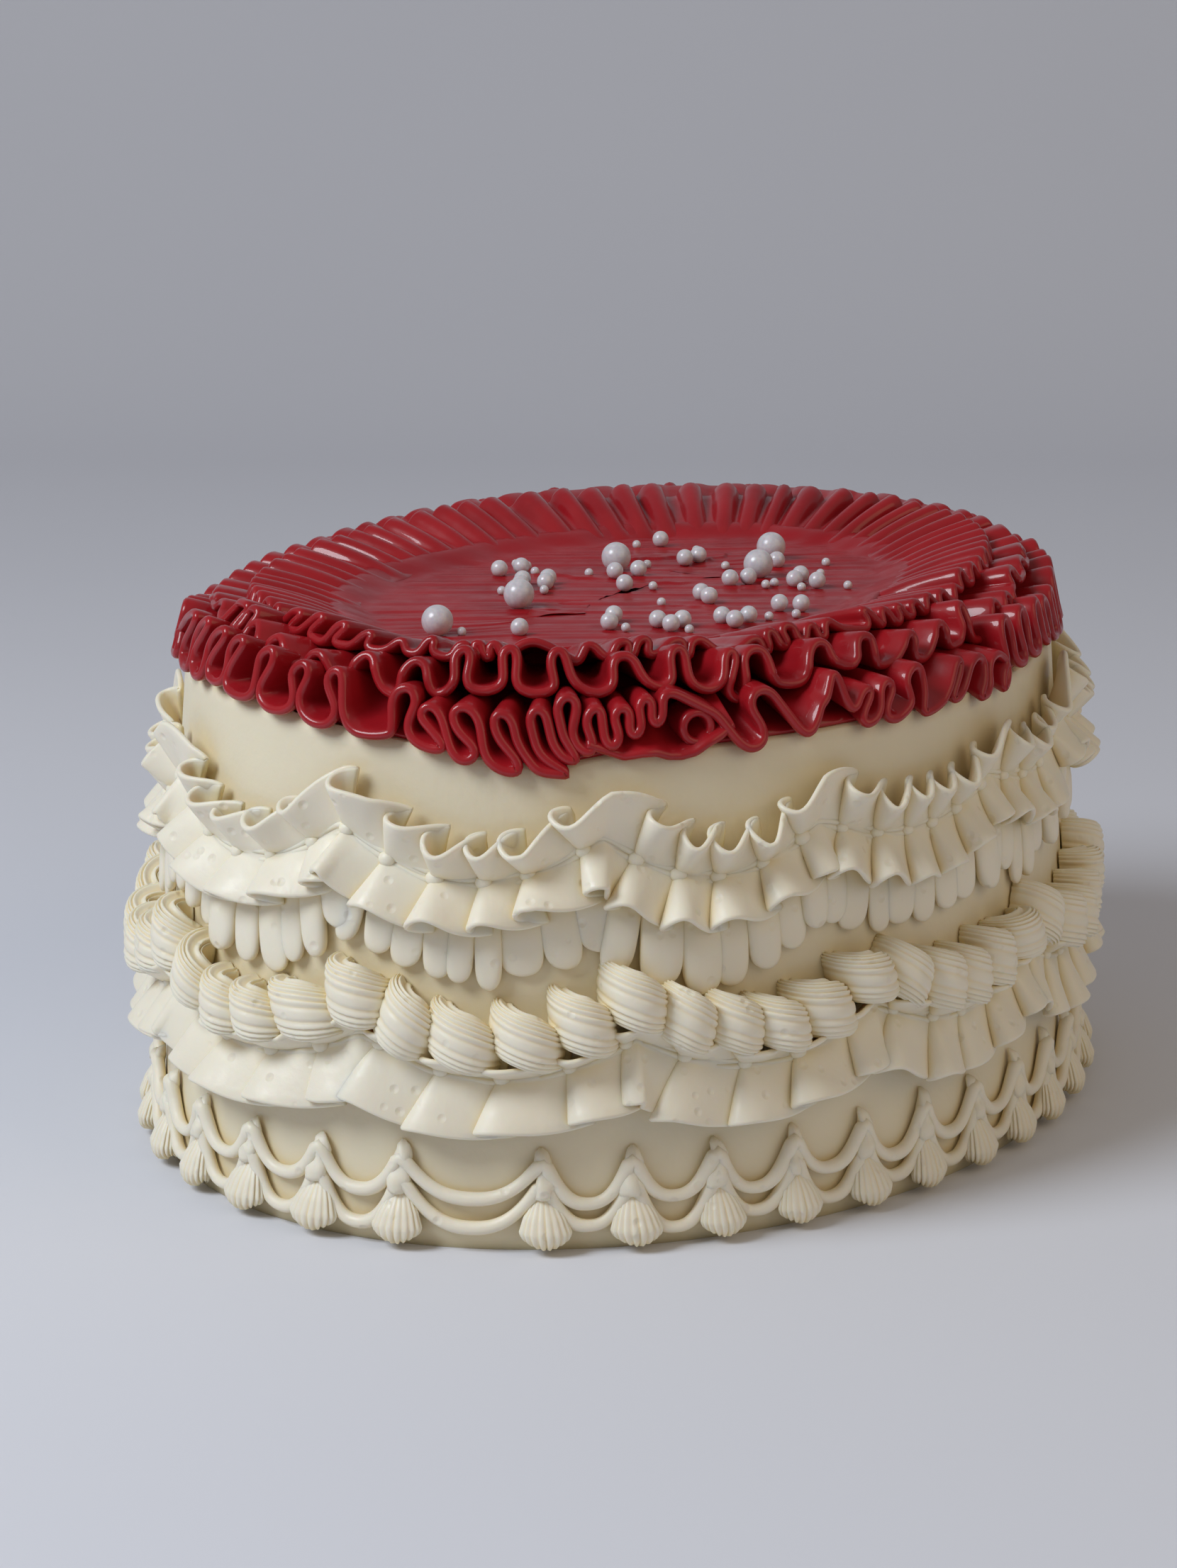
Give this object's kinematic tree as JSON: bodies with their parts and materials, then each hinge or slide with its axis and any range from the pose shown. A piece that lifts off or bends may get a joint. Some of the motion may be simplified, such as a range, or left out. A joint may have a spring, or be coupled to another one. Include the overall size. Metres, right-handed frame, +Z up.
{
  "type": "cake",
  "caption": "Oval cream cake with tiered red frills round a red top with sugar pearls, and piped ruffles, shell garlands and strings round its side.",
  "frame": {"origin": "centre of the flat base, at the height the cake stands on", "axes": "+Z up, +X along the long axis of the oval, +Y along the short axis"},
  "size_m": [0.2603, 0.2136, 0.1281],
  "materials": {
    "smooth_icing": "smooth satin ivory cream",
    "piped_icing": "piped pale cream with small air pits, satin",
    "red_icing": "deep red, glossy"
  },
  "bodies": {
    "root": {"cake_body": "smooth_icing", "red_top": "red_icing", "frill_outer": "red_icing", "frill_middle": "red_icing", "frill_inner": "red_icing", "upper_ruffle": "piped_icing", "petal_row": "piped_icing", "shell_garland": "piped_icing", "lower_ruffle": "piped_icing", "upper_string": "piped_icing", "lower_string": "piped_icing", "base_shell_01": "piped_icing", "base_shell_02": "piped_icing", "base_shell_03": "piped_icing", "base_shell_04": "piped_icing", "base_shell_05": "piped_icing", "base_shell_06": "piped_icing", "base_shell_07": "piped_icing", "base_shell_08": "piped_icing", "base_shell_09": "piped_icing", "base_shell_10": "piped_icing", "base_shell_11": "piped_icing", "base_shell_12": "piped_icing", "base_shell_13": "piped_icing", "base_shell_14": "piped_icing", "base_shell_15": "piped_icing", "base_shell_16": "piped_icing", "base_shell_17": "piped_icing", "base_shell_18": "piped_icing", "base_shell_19": "piped_icing", "base_shell_20": "piped_icing", "base_shell_21": "piped_icing", "base_shell_22": "piped_icing", "base_shell_23": "piped_icing", "base_shell_24": "piped_icing", "base_shell_25": "piped_icing", "base_shell_26": "piped_icing", "base_shell_27": "piped_icing", "base_shell_28": "piped_icing", "base_shell_29": "piped_icing", "base_shell_30": "piped_icing", "base_shell_31": "piped_icing", "base_shell_32": "piped_icing", "base_shell_33": "piped_icing", "base_shell_34": "piped_icing", "base_shell_35": "piped_icing", "base_shell_36": "piped_icing", "base_shell_37": "piped_icing"}
  },
  "joints": []
}
